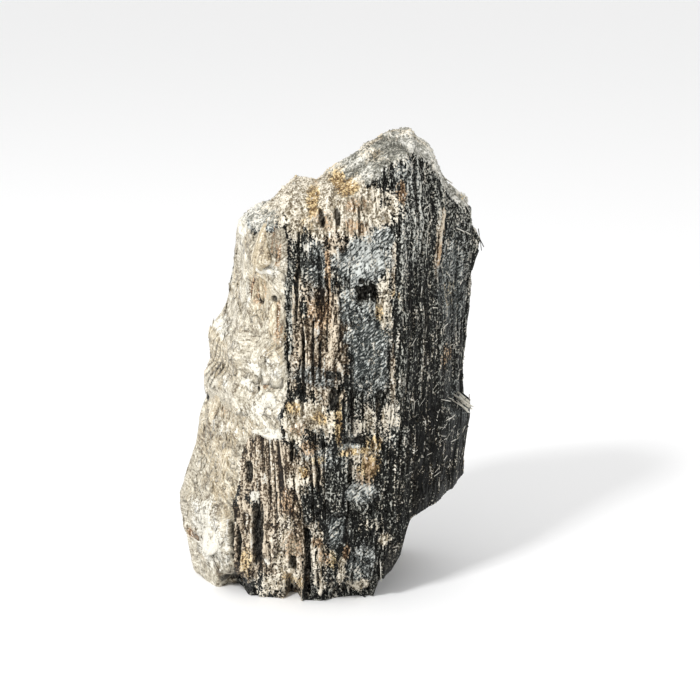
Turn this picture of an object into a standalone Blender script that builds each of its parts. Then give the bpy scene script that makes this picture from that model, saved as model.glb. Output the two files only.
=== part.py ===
"""A lump of black tourmaline with a mica skin down its left side, standing on its broken base.

The lump grew and broke off as one piece, so it is one closed solid. It is a loft between unlike
sections: ten corners climb from the base to the broken top, each section joins its corners with
straight sides, and a slanting fracture closes the top. Underneath, the right side is broken away
and the rest is flat, at z = 0. +X is right, -Y is the front and +Z is up.
"""

import bpy
import numpy as np

MM = 0.001
NAME = "tourmaline_crystal"

# Corners of the plan section at these levels, (x, y) in millimetres, anticlockwise from above.
LEVELS = (0, 10, 20, 38, 52, 56, 70, 94)
CORNERS = {
    "mica_edge": [(-28, 0), (-30.6, 1), (-29.4, 3), (-25.4, 4), (-22.9, 4), (-21.2, 4), (-18.6, 4), (-15, 4)],
    "mica_face": [(-20, -12), (-21, -13), (-20, -12), (-18.5, -12), (-17, -11), (-16.5, -10.8), (-15, -10.2), (-12, -8)],
    "mica_seam": [(-8, -15.5), (-8, -17), (-8, -18), (-9, -18.5), (-9, -18.5), (-9, -18.1), (-9, -16.9), (-9, -13)],
    "front_face": [(1, -16.5), (1, -19), (1, -20), (1, -21), (2, -20.5), (2, -20.3), (2, -19.7), (3, -16)],
    "front_edge": [(9, -14.5), (10.5, -16), (12, -17), (13.6, -18), (13.6, -18), (13.6, -17.7), (13.6, -16.8), (13.6, -14)],
    "right_face": [(18, -8), (20, -8), (21, -8), (22.5, -8), (22, -8), (22.1, -8), (22.4, -8), (20, -7)],
    "right_edge": [(23, 3), (25, 4), (27, 4), (27.6, 4), (27.4, 4), (28, 4), (30.5, 3), (23.5, 2)],
    "back_right": [(19, 14), (20, 15), (21, 15), (22, 16), (22, 16), (22.2, 15.6), (22.8, 14.4), (19, 11)],
    "back_face": [(3, 18), (4, 19), (4, 20), (4, 20), (4, 20), (4.2, 19.6), (4.8, 18.4), (6, 14)],
    "back_left": [(-16, 14), (-19, 15), (-19, 15), (-15, 16), (-14, 16), (-13.6, 15.8), (-12.4, 15.2), (-9, 12)],
}

# Profiles across the width, (x, height) in millimetres.
RIDGE = [(-21, 65.6), (-19, 70.9), (-18, 73.2), (-11, 78), (-7, 82.2), (-3, 81.5), (3.4, 85.6), (11, 90.4),
         (15.4, 91.5), (18, 87.8), (22.6, 80.4), (26.9, 76), (27.5, 73.2), (30.6, 69.8)]
FRONT_BEVEL = [(-20, 3), (-12, 3.5), (-8, 3.5), (2, 3.5), (8, 3.2), (13, 3), (18, 2), (25, 2.5), (30, 2)]
UNDERCUT = [(8, 0), (10.6, 5), (13, 10), (14.6, 15), (17, 17.5), (20, 18.6), (22.5, 19.6), (26, 22), (30, 28)]
UNDERCUT_SLANT = 0.12
BEVEL_FROM, BEVEL_RUN = 5, 12
BACK_FROM, BACK_RUN, BACK_FALL = 2, 14, 6

# Broken columns that stand proud of the sides or back from them.
COLUMN_COUNT = 38
COLUMN_RELIEF = 0.8
TOP_RELIEF = 0.7
SEED = 7

ROUND_POINTS = 76
SIDE_ROWS = 27
CAP_RINGS = 7

BLACK = (0.035, 0.036, 0.035, 1)
ROUGHNESS = 0.5


def profile(points, x):
    """Height of a profile at each x, by straight lines between its points."""
    xs, heights = zip(*points)
    return np.interp(x, xs, heights)


def section(around, z):
    """Plan place at each share of the way round, from 0 to 1, and each height."""
    tracks = np.array(list(CORNERS.values()), float)
    count = len(tracks)
    along = around * count
    corner = np.floor(along).astype(int) % count
    share = along - np.floor(along)
    at_height = [[np.interp(z, LEVELS, track[:, axis]) for track in tracks] for axis in (0, 1)]
    x, y = (
        np.take_along_axis(np.array(places), corner[None], 0)[0] * (1 - share)
        + np.take_along_axis(np.array(places), (corner[None] + 1) % count, 0)[0] * share
        for places in at_height
    )
    return x, y


def top_height(x, y):
    """The fracture on top: a ridge that climbs to the right, bevelled at the front, falling at the back."""
    bevel = profile(FRONT_BEVEL, x) * np.clip((-y - BEVEL_FROM) / BEVEL_RUN, 0, 1.2)
    fall = BACK_FALL * np.clip((y - BACK_FROM) / BACK_RUN, 0, 1.2) ** 1.3
    lumps = TOP_RELIEF * (np.sin(0.9 * x + 0.4 * y) + np.sin(0.5 * x - 1.1 * y))
    return profile(RIDGE, x) - bevel - fall + lumps


def base_height(x, y):
    """Flat at z = 0 where the lump stands, and broken away upwards under its right side, less so at the back."""
    front = CORNERS["front_face"][0][1]
    return profile(UNDERCUT, x - UNDERCUT_SLANT * (y - front))


def column_relief(around, z):
    """Step of the column at each place: every column changes its step once, at its own height."""
    rng = np.random.default_rng(SEED)
    steps = rng.uniform(-1, 1, (2, COLUMN_COUNT))
    breaks = rng.uniform(LEVELS[1], LEVELS[-1], COLUMN_COUNT)
    column = np.floor(around * COLUMN_COUNT).astype(int) % COLUMN_COUNT
    return COLUMN_RELIEF * np.where(z < breaks[column], steps[0][column], steps[1][column])


def side_rows():
    """Rings of the side from the base's edge to the top's edge, as (row, place round, xyz)."""
    around, climb = np.meshgrid(np.arange(ROUND_POINTS) / ROUND_POINTS, np.linspace(0, 1, SIDE_ROWS))
    z = climb * LEVELS[-1]
    for _ in range(4):  # the section depends on the height, and the height on where the section is
        x, y = section(around, z)
        z = base_height(x, y) * (1 - climb) + top_height(x, y) * climb
    out = 1 + column_relief(around, z) / np.hypot(x, y)
    x, y = x * out, y * out
    z = base_height(x, y) * (1 - climb) + top_height(x, y) * climb
    return np.stack([x, y, z], -1)


def cap_rings(edge, height):
    """Rings that close an end, from its edge inwards, lying on that end's own height."""
    inward = np.linspace(1, 0, CAP_RINGS + 1)[1:-1, None]
    middle = edge.mean(0)
    x = middle[0] + (edge[:, 0] - middle[0]) * inward
    y = middle[1] + (edge[:, 1] - middle[1]) * inward
    return np.stack([x, y, height(x, y)], -1), [middle[0], middle[1], height(middle[0], middle[1])]


def lump_mesh():
    """The loft: side rows between two caps, each cap closed by one point in its middle."""
    side = side_rows()
    base_rings, base_middle = cap_rings(side[0], base_height)
    top_rings, top_middle = cap_rings(side[-1], top_height)
    rings = np.concatenate([base_rings[::-1], side, top_rings])
    points = np.concatenate([rings.reshape(-1, 3), [base_middle, top_middle]]) * MM
    points[:, :2] -= (points.min(0) + points.max(0))[:2] / 2  # the origin is under the middle of its box

    around = np.arange(ROUND_POINTS)
    beside = (around + 1) % ROUND_POINTS
    rows = np.arange(len(rings) - 1)[:, None] * ROUND_POINTS
    quads = np.stack([rows + around, rows + beside, rows + beside + ROUND_POINTS, rows + around + ROUND_POINTS], -1)
    last_row = (len(rings) - 1) * ROUND_POINTS
    base_point, top_point = len(points) - 2, len(points) - 1
    base_fan = [(base_point, j, i) for i, j in zip(around, beside)]
    top_fan = [(top_point, last_row + i, last_row + j) for i, j in zip(around, beside)]

    mesh = bpy.data.meshes.new(NAME)
    mesh.from_pydata(points.tolist(), [], quads.reshape(-1, 4).tolist() + base_fan + top_fan)
    mesh.update()
    return mesh


def tourmaline_material():
    material = bpy.data.materials.new("black_tourmaline")
    material.use_nodes = True
    shader = material.node_tree.nodes["Principled BSDF"]
    shader.inputs["Base Color"].default_value = BLACK
    shader.inputs["Roughness"].default_value = ROUGHNESS
    shader.inputs["Metallic"].default_value = 0
    return material


def main():
    for old in list(bpy.data.objects):
        bpy.data.objects.remove(old)
    collection = bpy.data.collections.new(NAME)
    bpy.context.scene.collection.children.link(collection)
    lump = bpy.data.objects.new(NAME, lump_mesh())
    lump.data.materials.append(tourmaline_material())
    collection.objects.link(lump)


main()
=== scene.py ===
"""The looks of a lump of black tourmaline with a mica skin: its fine surface, finishes, light and camera.

The lump's form is the one that the CAD solid has: ten corners climb from a flat base to a slanting
broken top. Here the same form is worked out on a fine grid and broken up into columns, flakes and
grains. Lengths inside the numpy code are millimetres, and MM turns them into the scene's metres.
"""

from itertools import product

import bpy
import numpy as np
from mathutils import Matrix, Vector


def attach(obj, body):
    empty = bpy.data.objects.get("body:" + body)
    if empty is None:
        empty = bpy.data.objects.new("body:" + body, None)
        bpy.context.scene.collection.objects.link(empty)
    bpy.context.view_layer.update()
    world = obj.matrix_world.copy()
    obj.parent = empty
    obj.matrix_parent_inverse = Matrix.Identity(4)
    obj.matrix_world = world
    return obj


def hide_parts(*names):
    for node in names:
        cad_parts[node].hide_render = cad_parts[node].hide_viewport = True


MM = 0.001
NODE = "tourmaline_crystal"

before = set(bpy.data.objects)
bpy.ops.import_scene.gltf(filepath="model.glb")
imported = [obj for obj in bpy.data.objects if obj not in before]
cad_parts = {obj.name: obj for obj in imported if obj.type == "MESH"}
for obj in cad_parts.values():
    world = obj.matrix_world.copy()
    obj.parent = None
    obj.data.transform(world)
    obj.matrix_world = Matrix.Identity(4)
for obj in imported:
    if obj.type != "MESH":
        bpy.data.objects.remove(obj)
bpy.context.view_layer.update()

# ---------------------------------------------------------------- the lump's form, as in the CAD solid

# Corners of the plan section at these levels, (x, y), anticlockwise from above.
LEVELS = (0, 10, 20, 38, 52, 56, 70, 94)
CORNERS = {
    "mica_edge": [(-28, 0), (-30.6, 1), (-29.4, 3), (-25.4, 4),
                  (-22.9, 4), (-21.2, 4), (-18.6, 4), (-15, 4)],
    "mica_face": [(-20, -12), (-21, -13), (-20, -12), (-18.5, -12),
                  (-17, -11), (-16.5, -10.8), (-15, -10.2), (-12, -8)],
    "mica_seam": [(-8, -15.5), (-8, -17), (-8, -18), (-9, -18.5),
                  (-9, -18.5), (-9, -18.1), (-9, -16.9), (-9, -13)],
    "front_face": [(1, -16.5), (1, -19), (1, -20), (1, -21),
                   (2, -20.5), (2, -20.3), (2, -19.7), (3, -16)],
    "front_edge": [(9, -14.5), (10.5, -16), (12, -17), (13.6, -18),
                   (13.6, -18), (13.6, -17.7), (13.6, -16.8), (13.6, -14)],
    "right_face": [(18, -8), (20, -8), (21, -8), (22.5, -8),
                   (22, -8), (22.1, -8), (22.4, -8), (20, -7)],
    "right_edge": [(23, 3), (25, 4), (27, 4), (27.6, 4),
                   (27.4, 4), (28, 4), (30.5, 3), (23.5, 2)],
    "back_right": [(19, 14), (20, 15), (21, 15), (22, 16),
                   (22, 16), (22.2, 15.6), (22.8, 14.4), (19, 11)],
    "back_face": [(3, 18), (4, 19), (4, 20), (4, 20),
                  (4, 20), (4.2, 19.6), (4.8, 18.4), (6, 14)],
    "back_left": [(-16, 14), (-19, 15), (-19, 15), (-15, 16),
                  (-14, 16), (-13.6, 15.8), (-12.4, 15.2), (-9, 12)],
}
PLAN_CENTRE = (-0.41, -0.73)

# Profiles across the width, (x, height).
RIDGE = [
    (-21, 65.6), (-19, 70.9), (-18, 73.2), (-11, 78), (-7, 82.2), (-3, 81.5), (3.4, 85.6), (11, 90.4),
    (15.2, 91.5), (16.3, 89.6), (18.3, 88.4), (19.7, 85.8), (22.6, 80.4), (26.9, 76), (27.5, 73.2),
    (30.6, 69.8),
]
FRONT_BEVEL = [(-20, 3), (-12, 3.5), (-8, 3.5), (2, 3.5), (8, 3.2), (13, 3), (18, 2), (25, 2.5), (30, 2)]
UNDERCUT = [
    (8, 0), (9.4, 4.4), (11.4, 5.8), (13.2, 8.8), (14.1, 13.6), (15.2, 16.4), (18.6, 17.6), (22.5, 18.5),
    (26, 21.4), (30, 28),
]
UNDERCUT_SLANT = 0.12
BEVEL_FROM, BEVEL_RUN = 5, 12
BACK_FROM, BACK_RUN, BACK_FALL = 2, 14, 6


def profile(points, x):
    """Height of a profile at each x, by straight lines between its points."""
    xs, heights = zip(*points)
    return np.interp(x, xs, heights)


def section(around, z):
    """Plan place at each share of the way round, from 0 to 1, and each height."""
    tracks = np.array(list(CORNERS.values()), float)
    count = len(tracks)
    along = around * count
    corner = np.floor(along).astype(int) % count
    share = along - np.floor(along)
    at_height = [[np.interp(z, LEVELS, track[:, axis]) for track in tracks] for axis in (0, 1)]
    x, y = (
        np.take_along_axis(np.array(places), corner[None], 0)[0] * (1 - share)
        + np.take_along_axis(np.array(places), (corner[None] + 1) % count, 0)[0] * share
        for places in at_height
    )
    return x, y


def top_height(x, y):
    """The fracture on top: a ridge that climbs to the right, bevelled at the front, falling at the back."""
    bevel = profile(FRONT_BEVEL, x) * np.clip((-y - BEVEL_FROM) / BEVEL_RUN, 0, 1.2)
    fall = BACK_FALL * np.clip((y - BACK_FROM) / BACK_RUN, 0, 1.2) ** 1.3
    return profile(RIDGE, x) - bevel - fall


def base_height(x, y):
    """Flat at z = 0 where the lump stands, and broken away upwards under its right side."""
    front = CORNERS["front_face"][0][1]
    return profile(UNDERCUT, x - UNDERCUT_SLANT * (y - front))


# ---------------------------------------------------------------- noise

def scatter(cell, seed):
    """Three numbers from 0 to 1 for each whole-number place, spread evenly: the place and the seed are mixed
    by multiplying and shifting, so the same place and seed always give the same three."""
    keys = cell.astype(np.int32).view(np.uint32)
    h = keys[..., 0] * np.uint32(0x8DA6B343) ^ keys[..., 1] * np.uint32(0xD8163841)
    h = h ^ keys[..., 2] * np.uint32(0xCB1AB31F) ^ np.uint32((seed * 0x9E3779B1) & 0xFFFFFFFF)
    h = (h ^ (h >> np.uint32(15))) * np.uint32(0x2C1B3C6D)
    h = (h ^ (h >> np.uint32(12))) * np.uint32(0x297A2D39)
    h = h ^ (h >> np.uint32(15))
    parts = [(h >> np.uint32(shift)) & np.uint32(1023) for shift in (0, 10, 20)]
    return np.stack(parts, -1).astype(np.float32) / np.float32(1023)


def soft_noise(p, size, seed):
    """Value noise from -1 to 1, three at once: random numbers at the corners of a lattice of this cell size,
    blended smoothly in between."""
    q = (p / np.asarray(size)).astype(np.float32)
    cell = np.floor(q)
    f = q - cell
    f = f * f * (3 - 2 * f)
    total = 0
    for step in product((0, 1), repeat=3):
        weight = np.prod(np.where(np.array(step), f, 1 - f), -1, keepdims=True)
        total = total + weight * scatter(cell + np.array(step, np.float32), seed)
    return 2 * total - 1


def layered_noise(p, size, seed, layers=3):
    """Soft noise summed over layers, each half the size and half the strength of the one before."""
    size = np.asarray(size, float)
    total = sum(soft_noise(p, size / 2**k, seed + k)[..., 0] / 2**k for k in range(layers))
    return total / (2 - 2.0 ** (1 - layers))


def nearest_cell(p, size, seed):
    """Jittered lattice cells: each point belongs to the nearest centre. Gives its place from that centre
    in cell sizes, how far inside the cell it is (0 at the border), and which cell it is."""
    q = (p / np.asarray(size)).astype(np.float32)
    home = np.floor(q)
    f = q - home
    best = np.full(q.shape[:-1], 9, np.float32)
    second = best.copy()
    offset = np.zeros_like(q)
    owner = home.copy()
    for step in product((-1, 0, 1), repeat=3):
        step = np.array(step, np.float32)
        cell = home + step
        away = f - step - 0.1 - 0.8 * scatter(cell, seed)
        distance = np.einsum("...k,...k", away, away)
        closer = distance < best
        second = np.where(closer, best, np.minimum(second, distance))
        best = np.where(closer, distance, best)
        offset[closer] = away[closer]
        owner[closer] = cell[closer]
    return offset, np.sqrt(second) - np.sqrt(best), owner


def facets(p, size, seed, tilt):
    """Broken facets: every cell is a small plane with its own height, about -1 to 1, and its own slope.
    Also gives how far inside its cell a point is, and a number that is the cell's own."""
    offset, inside, owner = nearest_cell(p, size, seed)
    slope = 2 * scatter(owner, seed + 11) - 1
    own = scatter(owner, seed + 23)
    return 2 * own[..., 0] - 1 + tilt * (offset * slope).sum(-1), inside, own[..., 1]


def smoothstep(low, high, value):
    """0 at low, 1 at high, and 3 t^2 - 2 t^3 between. With low above high it falls instead."""
    share = np.clip((value - low) / (high - low), 0, 1)
    return share * share * (3 - 2 * share)


# ---------------------------------------------------------------- the grid

FINE, COARSE = 0.18, 0.3          # spacing round the lump, on the fine sides and on the others
FINE_SIDES = range(0, 6)
ROW_STEP = 0.21
TOP_RINGS, BASE_RINGS = 80, 26
RING_STEP = 0.22                  # how far apart the top's rings are, roughly
WAIST = 3                         # the level at which the sides' lengths are taken
SETTLING = 4                      # rounds in which a side row's height and its plan place agree
SECTORS = {"mica_side": (0, 2), "front_columns": (2, 4), "right_columns": (4, 6),
           "back_right": (6, 8), "back_left": (8, 10)}
NORMAL_BLUR = 7


def way_round():
    """Shares of the way round, evenly spaced in millimetres on each side, and each corner's column."""
    middle = np.array([track[WAIST] for track in CORNERS.values()], float)
    lengths = np.hypot(*(np.roll(middle, -1, 0) - middle).T)
    shares, starts = [], [0]
    for side, length in enumerate(lengths):
        count = int(round(length / (FINE if side in FINE_SIDES else COARSE)))
        shares.append((side + np.arange(count) / count) / len(lengths))
        starts.append(starts[-1] + count)
    return np.concatenate(shares), starts


def form_grid():
    """Rows of points over the whole lump: base rings from the middle out, side rows, top rings inwards.
    Also gives the first side row and the first top row, and each corner's column."""
    shares, starts = way_round()
    side_count = int(LEVELS[-1] / ROW_STEP)
    around, climb = np.meshgrid(shares, np.linspace(0, 1, side_count))
    z = climb * LEVELS[-1]
    for _ in range(SETTLING):
        x, y = section(around, z)
        z = base_height(x, y) * (1 - climb) + top_height(x, y) * climb
    side = np.stack([x, y, z], -1)

    def cap(edge, height, rings):
        """Rings that shrink from the edge to its middle, at the heights of this surface."""
        inward = np.linspace(1, 0, rings + 1)[1:-1, None]
        middle = edge.mean(0)
        x = middle[0] + (edge[:, 0] - middle[0]) * inward
        y = middle[1] + (edge[:, 1] - middle[1]) * inward
        return np.stack([x, y, height(x, y)], -1)

    base = cap(side[0], base_height, BASE_RINGS)[::-1]
    top = cap(side[-1], top_height, TOP_RINGS)
    return np.concatenate([base, side, top]), (len(base), len(base) + side_count), starts


def smoothed(values, reach):
    """Each value averaged with its neighbours on the grid, this many cells each way."""
    steps = np.arange(-reach, reach + 1)
    last = len(values) - 1
    values = sum(np.roll(values, step, 1) for step in steps) / len(steps)
    return sum(values[np.clip(np.arange(last + 1) + step, 0, last)] for step in steps) / len(steps)


def grid_normals(points):
    """Outward directions: the cross product of the grid's two slopes, evened out over a few cells."""
    along = np.roll(points, -1, 1) - np.roll(points, 1, 1)
    normals = np.cross(along, np.gradient(points, axis=0))
    normals /= np.maximum(np.linalg.norm(normals, axis=-1, keepdims=True), 1e-9)
    normals = smoothed(normals, NORMAL_BLUR)
    return normals / np.linalg.norm(normals, axis=-1, keepdims=True)


# ---------------------------------------------------------------- the broken surface

LEAN = 0.035                      # the columns lean this much to the left as they climb
GROOVE_WIDTH = 0.1

# Places on the front, as (x, z, half width, half height, amount).
# The pearl spots paint the blue-grey sheen that flat cleaved faces reflect: a painted reflection.
PEARL = [
    (-2.6, 67.5, 1.6, 5.0, 0.5), (6.1, 69.3, 4.5, 4.5, 1.4), (9.4, 73.2, 2.0, 2.4, 1.2),
    (7.1, 51.5, 3.8, 8.2, 1.3), (5.7, 23.4, 3.2, 1.9, 1.2), (3.3, 61, 1.8, 4, 0.9),
    (-2.4, 68.5, 2.6, 6, 0.55), (-2.5, 47, 4.5, 2.2, 0.7), (3, 33.5, 2.2, 2.4, 0.7), (6.2, 9, 3.2, 5, 0.75),
    (1, 16, 2.6, 4, 0.75), (-1, 31, 4, 2, 0.6), (11, 37, 2, 4, 0.45), (15, 74, 2.5, 9, 0.35),
    (-14, 75.6, 3.8, 2.2, 1.3), (24.5, 62, 3.6, 11, 0.7), (25, 35, 3, 8, 0.55), (14, 84, 3, 4, 0.5),
    (-2.2, 36.6, 1.3, 1.0, 1.3),
]
CREAM = [
    (-1, 79, 12, 4.8, 1.3), (4.2, 76.5, 3.4, 3.8, 1.1), (6.5, 87.6, 3.4, 1.4, 0.5), (-8.8, 10, 2.8, 8, 0.8),
    (10.1, 61.5, 1.4, 5, 0.9), (-2.6, 10.5, 1.9, 7.6, 0.8), (1.9, 6.5, 0.9, 3.6, 0.85),
    (5.4, 3.1, 2.4, 2, 0.8), (10.3, 13.2, 1.4, 1.5, 0.9), (-3.5, 38.8, 4.4, 2.8, 1.0),
    (-6.8, 37.4, 2.4, 4.2, 0.9), (8.5, 37.5, 4.5, 3.6, 0.65), (-14.5, 17, 0.7, 2, 0.8),
    (7.5, 16.5, 2.2, 1.6, 0.7), (-6.5, 76, 3, 3, 0.9), (-11.5, 2.5, 4, 2.4, 0.8),
    (6.0, 29.5, 3.0, 3.0, 0.75), (-6.2, 24.6, 2.4, 2.4, 0.75),
]
OCHRE = [
    (2.4, 82.6, 2.3, 1.3, 1.15), (-3.1, 79.0, 1.4, 2.5, 1.05), (-4.6, 75.6, 1.2, 1.6, 0.5),
    (-7, 40.6, 1.6, 1.2, 0.65), (-1.7, 38.9, 2, 1.2, 0.75), (1.4, 37.5, 0.8, 4.6, 0.85),
    (7.4, 28.8, 2.1, 2.8, 0.85), (8.4, 33.6, 1.6, 1.4, 0.7), (-5.2, 27.8, 0.9, 1.1, 0.8),
    (4.4, 32.3, 3.4, 0.8, 0.85), (-17, 7.6, 1.3, 3.3, 0.5), (9.2, 59.3, 0.8, 1.7, 0.6),
    (-2.5, 30.6, 1.4, 0.9, 0.4), (12.2, 62.5, 0.8, 1, 0.45), (24, 60, 1.2, 2.4, 0.3),
    (-9.3, 57, 0.6, 5, 0.4), (0, 9.5, 1.2, 2, 0.4), (-7.5, 4, 2.4, 1.6, 0.45),
]
RUST = [
    (4.4, 75.3, 2.4, 1.8, 0.6), (13.1, 81.6, 0.8, 2.2, 0.9), (23.1, 47.4, 1.1, 2.4, 0.42),
    (2.9, 11.4, 0.7, 2.1, 0.9), (-12.3, 44.2, 1, 0.9, 0.6), (-0.4, 66.5, 0.5, 7, 0.9),
    (-28.5, 9, 1.5, 1.1, 0.8), (-2, 59, 2.2, 4, 0.5), (-13.6, 62.2, 1.3, 3.0, 0.6),
    (-1.5, 10.5, 1.2, 2, 0.5), (-22, 36, 1.4, 1.6, 0.35), (-25.5, 6.5, 2.4, 1.6, 0.4),
    (-10.2, 71.5, 0.9, 4.5, 0.55), (-10.0, 57.5, 1.0, 4.5, 0.6), (21.6, 68.2, 0.6, 2.0, 0.8),
    (-4, 33, 1.6, 1.6, 0.5), (-0.5, 76.5, 2.4, 1.6, 0.55), (5, 79.5, 2.6, 1.6, 0.5),
    (-8.8, 21, 1.8, 3, 0.55), (-7.5, 12, 2, 4, 0.42), (-2.6, 13.4, 1.7, 1.0, 0.7),
    (-6.5, 36.5, 2, 1.5, 0.4), (6.5, 28, 2.4, 2.6, 0.45),
]
BROWN = [
    (-1.2, 53.5, 4.6, 11.5, 1.3), (-12.2, 27.6, 5.6, 8.4, 1.4), (21.3, 70.2, 1.1, 5.6, 1.4),
    (-17.2, 12, 3.2, 8, 1.35), (-4, 29.5, 3, 4.4, 0.8), (-9.4, 11, 4.4, 11, 1.3), (-8, 22, 2.2, 8, 1.1),
    (0.8, 73.5, 4, 3.2, 0.8), (-3, 76, 3, 3, 0.6), (11.6, 47, 0.6, 10, 0.6), (11.9, 67, 0.6, 6, 0.55),
    (-6.4, 60, 0.8, 9, 0.75), (-6.6, 47, 1.4, 5, 0.7),
]
WHITE = [
    (-14.2, 47.6, 1.1, 0.8, 1), (-12.8, 46.5, 0.6, 1.1, 1), (-15.9, 44.2, 1.2, 0.7, 1),
    (-14, 39, 3.0, 2.0, 0.6), (-11.5, 34.9, 2.8, 0.7, 1), (-14.8, 21.8, 1, 1.0, 1),
    (-4.8, 71.5, 0.7, 0.8, 1), (-24.3, 10.5, 3.3, 6.2, 0.95), (-17, 72.5, 1.6, 1.6, 0.9),
    (-21, 52, 1.8, 1.5, 0.8), (-13, 8, 0.6, 1, 0.8), (-16.5, 61, 1.2, 2.2, 0.8),
    (-10.8, 66.5, 1.2, 0.9, 0.9), (-20, 43, 1, 1.5, 0.6), (-10.5, 48, 1.2, 2, 0.6), (-22, 33, 1.5, 2, 0.5),
]
# Lighter and darker ground in any finish: partly the ground's own tone and partly painted light and shade,
# such as painted sheen on the blue-grey patches, and painted shade under the ledge at x -2.8, z 31.5 and on
# the shaded facet at x 11.4, z 7.4.
PAINTED_LIGHT_AND_TONE = [
    (-14, 76, 4, 2.4, 0.5), (11, 89.5, 4.5, 3, -1.35), (10.6, 84.6, 2.2, 2.2, 0.6), (-5, 38.5, 5, 4, -1.0),
    (6.3, 70, 3.8, 4, 0.9), (7.1, 51, 4.0, 8, -1.05), (3.3, 61, 1.8, 3, -0.5), (-4.2, 56, 0.8, 14, -0.3),
    (5.7, 23.4, 3.2, 2.0, 0.4), (3, 13, 10, 8, -0.5), (-2.4, 68, 3, 5, -0.35), (-2.8, 31.5, 2.8, 2.6, -0.6),
    (-11.8, 28, 4.4, 7, -0.5), (-8.6, 12, 3.0, 9, -0.2), (-2.2, 36.6, 1.3, 1, 0.6), (-2, 20.5, 4, 2, -0.6),
    (10, 36, 3, 5, 0.2), (0.5, 44, 1.5, 4, -0.6), (24.8, 63, 4, 13, -1.1), (25, 35, 3, 9, -0.8),
    (-7.7, 58.5, 1.1, 10.5, 1.2), (16.5, 66, 0.8, 12, -0.5), (19, 44, 1.4, 16, -0.35),
    (14.4, 30, 1.2, 9, 0.35), (17, 24, 1.0, 9, -0.5), (13.6, 50, 0.8, 12, 0.3), (22.4, 30, 0.8, 9, 0.3),
    (13.4, 85.5, 2.4, 3.4, -0.6), (21.3, 70, 1.1, 6, 0.3), (12.6, 66, 1.2, 9, 0.3),
    (17.4, 71.8, 0.9, 4.0, -0.7), (15.5, 59, 0.8, 6, -0.7), (18.8, 53.6, 0.7, 7, -0.6),
    (-17, 12, 3, 7, -0.25), (11.4, 7.4, 1.8, 3.4, -1.2), (-24, 17, 3, 3, -0.5), (19.5, 29, 6, 9, -1.5),
    (18, 50, 5, 14, -0.35), (20.4, 60, 0.8, 12, 0.35), (-5.4, 47, 3.4, 3, -0.3), (-25, 9, 3, 3, -0.7),
    (-22, 4, 5, 2.5, -0.9), (-20.9, 60, 0.6, 3.5, -1.8), (-15, 58, 3, 3, -0.4), (-24.5, 24, 2.4, 3, 0.4),
    (-18, 33, 4, 3, -0.5), (-14, 38, 3, 3, 0.4), (-12, 52, 2.4, 5, -0.4), (-18.5, 69, 2, 2.2, 0.4),
    (-19.5, 41, 2.6, 3.4, -0.4), (-27, 30, 1.8, 3, -0.6),
]
TAN = [
    (-21, 47, 3.5, 6, 0.8), (-23, 30, 5, 8, 0.7), (-13.5, 62, 2.4, 5, 0.8), (-10, 55, 1.6, 9, 0.6),
    (-19, 61, 2.2, 4, 0.5), (-27, 15, 2.5, 6, 0.4), (-21.5, 23, 4.0, 5.5, 0.8), (-18, 36, 5, 3, 0.5),
    (-15, 54, 3, 3, 0.3), (-20, 20, 3, 6, 0.5), (-15.5, 71, 1.2, 4, 0.6),
]
# Hollows and slots: the amount is their depth, and they are also painted dark as their shade.
POCKETS = [
    (6.7, 63.0, 1.9, 1.3, 1.8), (6.3, 62.6, 1.2, 1.0, 1.7), (7.6, 62.9, 1.0, 0.9, 1.7),
    (5.9, 65.3, 0.6, 0.5, 0.8), (4.6, 62.2, 0.5, 0.4, 0.6), (12.8, 75.2, 0.25, 1.7, 0.9),
    (0.3, 47.4, 1.8, 0.8, 0.8), (0.8, 42.8, 0.9, 2.3, 1.3), (4.8, 34.5, 2.3, 0.8, 0.7),
    (-2.6, 33.8, 2.0, 0.5, 0.4), (-7.6, 31.4, 0.35, 2.2, 1.0), (-15.9, 26.5, 0.75, 2.1, 1.4),
    (-14.5, 13.5, 1.0, 6.5, 2.0), (-19.6, 12.0, 0.3, 3.6, 1.0), (-18.3, 10.5, 0.3, 4.2, 1.0),
    (-7.6, 8.6, 0.8, 1.5, 1.1), (-4.8, 9.1, 0.6, 7.6, 1.6), (-13.4, 60.6, 0.6, 0.9, 1.0),
    (-10.8, 61.3, 0.6, 0.5, 1.0), (-11.6, 69.6, 0.35, 1.6, 0.8), (-14.2, 43.3, 0.6, 0.5, 0.8),
    (-13.2, 67.9, 1.3, 0.4, 1.0), (15.5, 59.2, 0.4, 4.6, 0.8), (16.1, 23.7, 0.4, 4.8, 1.0),
    (19, 29.3, 0.3, 4.2, 0.8), (14.2, 31, 0.3, 3.6, 0.8), (17.4, 71.8, 0.4, 3.2, 0.9),
    (18.8, 53.6, 0.3, 5, 0.7), (14.8, 47.2, 0.25, 5.2, 0.7), (-20, 2.3, 1.9, 0.9, 1.2),
    (3, 19.5, 2.5, 0.7, 0.4), (-6.5, 62, 0.3, 4, 0.7), (-8.5, 50.5, 0.25, 4.5, 0.7),
    (-5.3, 52, 0.25, 4, 0.7), (-2.2, 50, 0.25, 3.5, 0.7), (-0.6, 64, 0.25, 3.5, 0.6),
    (-1.6, 77, 0.5, 1.6, 0.8), (1.2, 77.2, 0.6, 1.5, 0.7), (3.4, 28, 0.5, 2.5, 0.9),
    (-2.4, 27, 0.35, 3, 0.9), (9.4, 6, 0.25, 4, 0.8),
]
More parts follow.
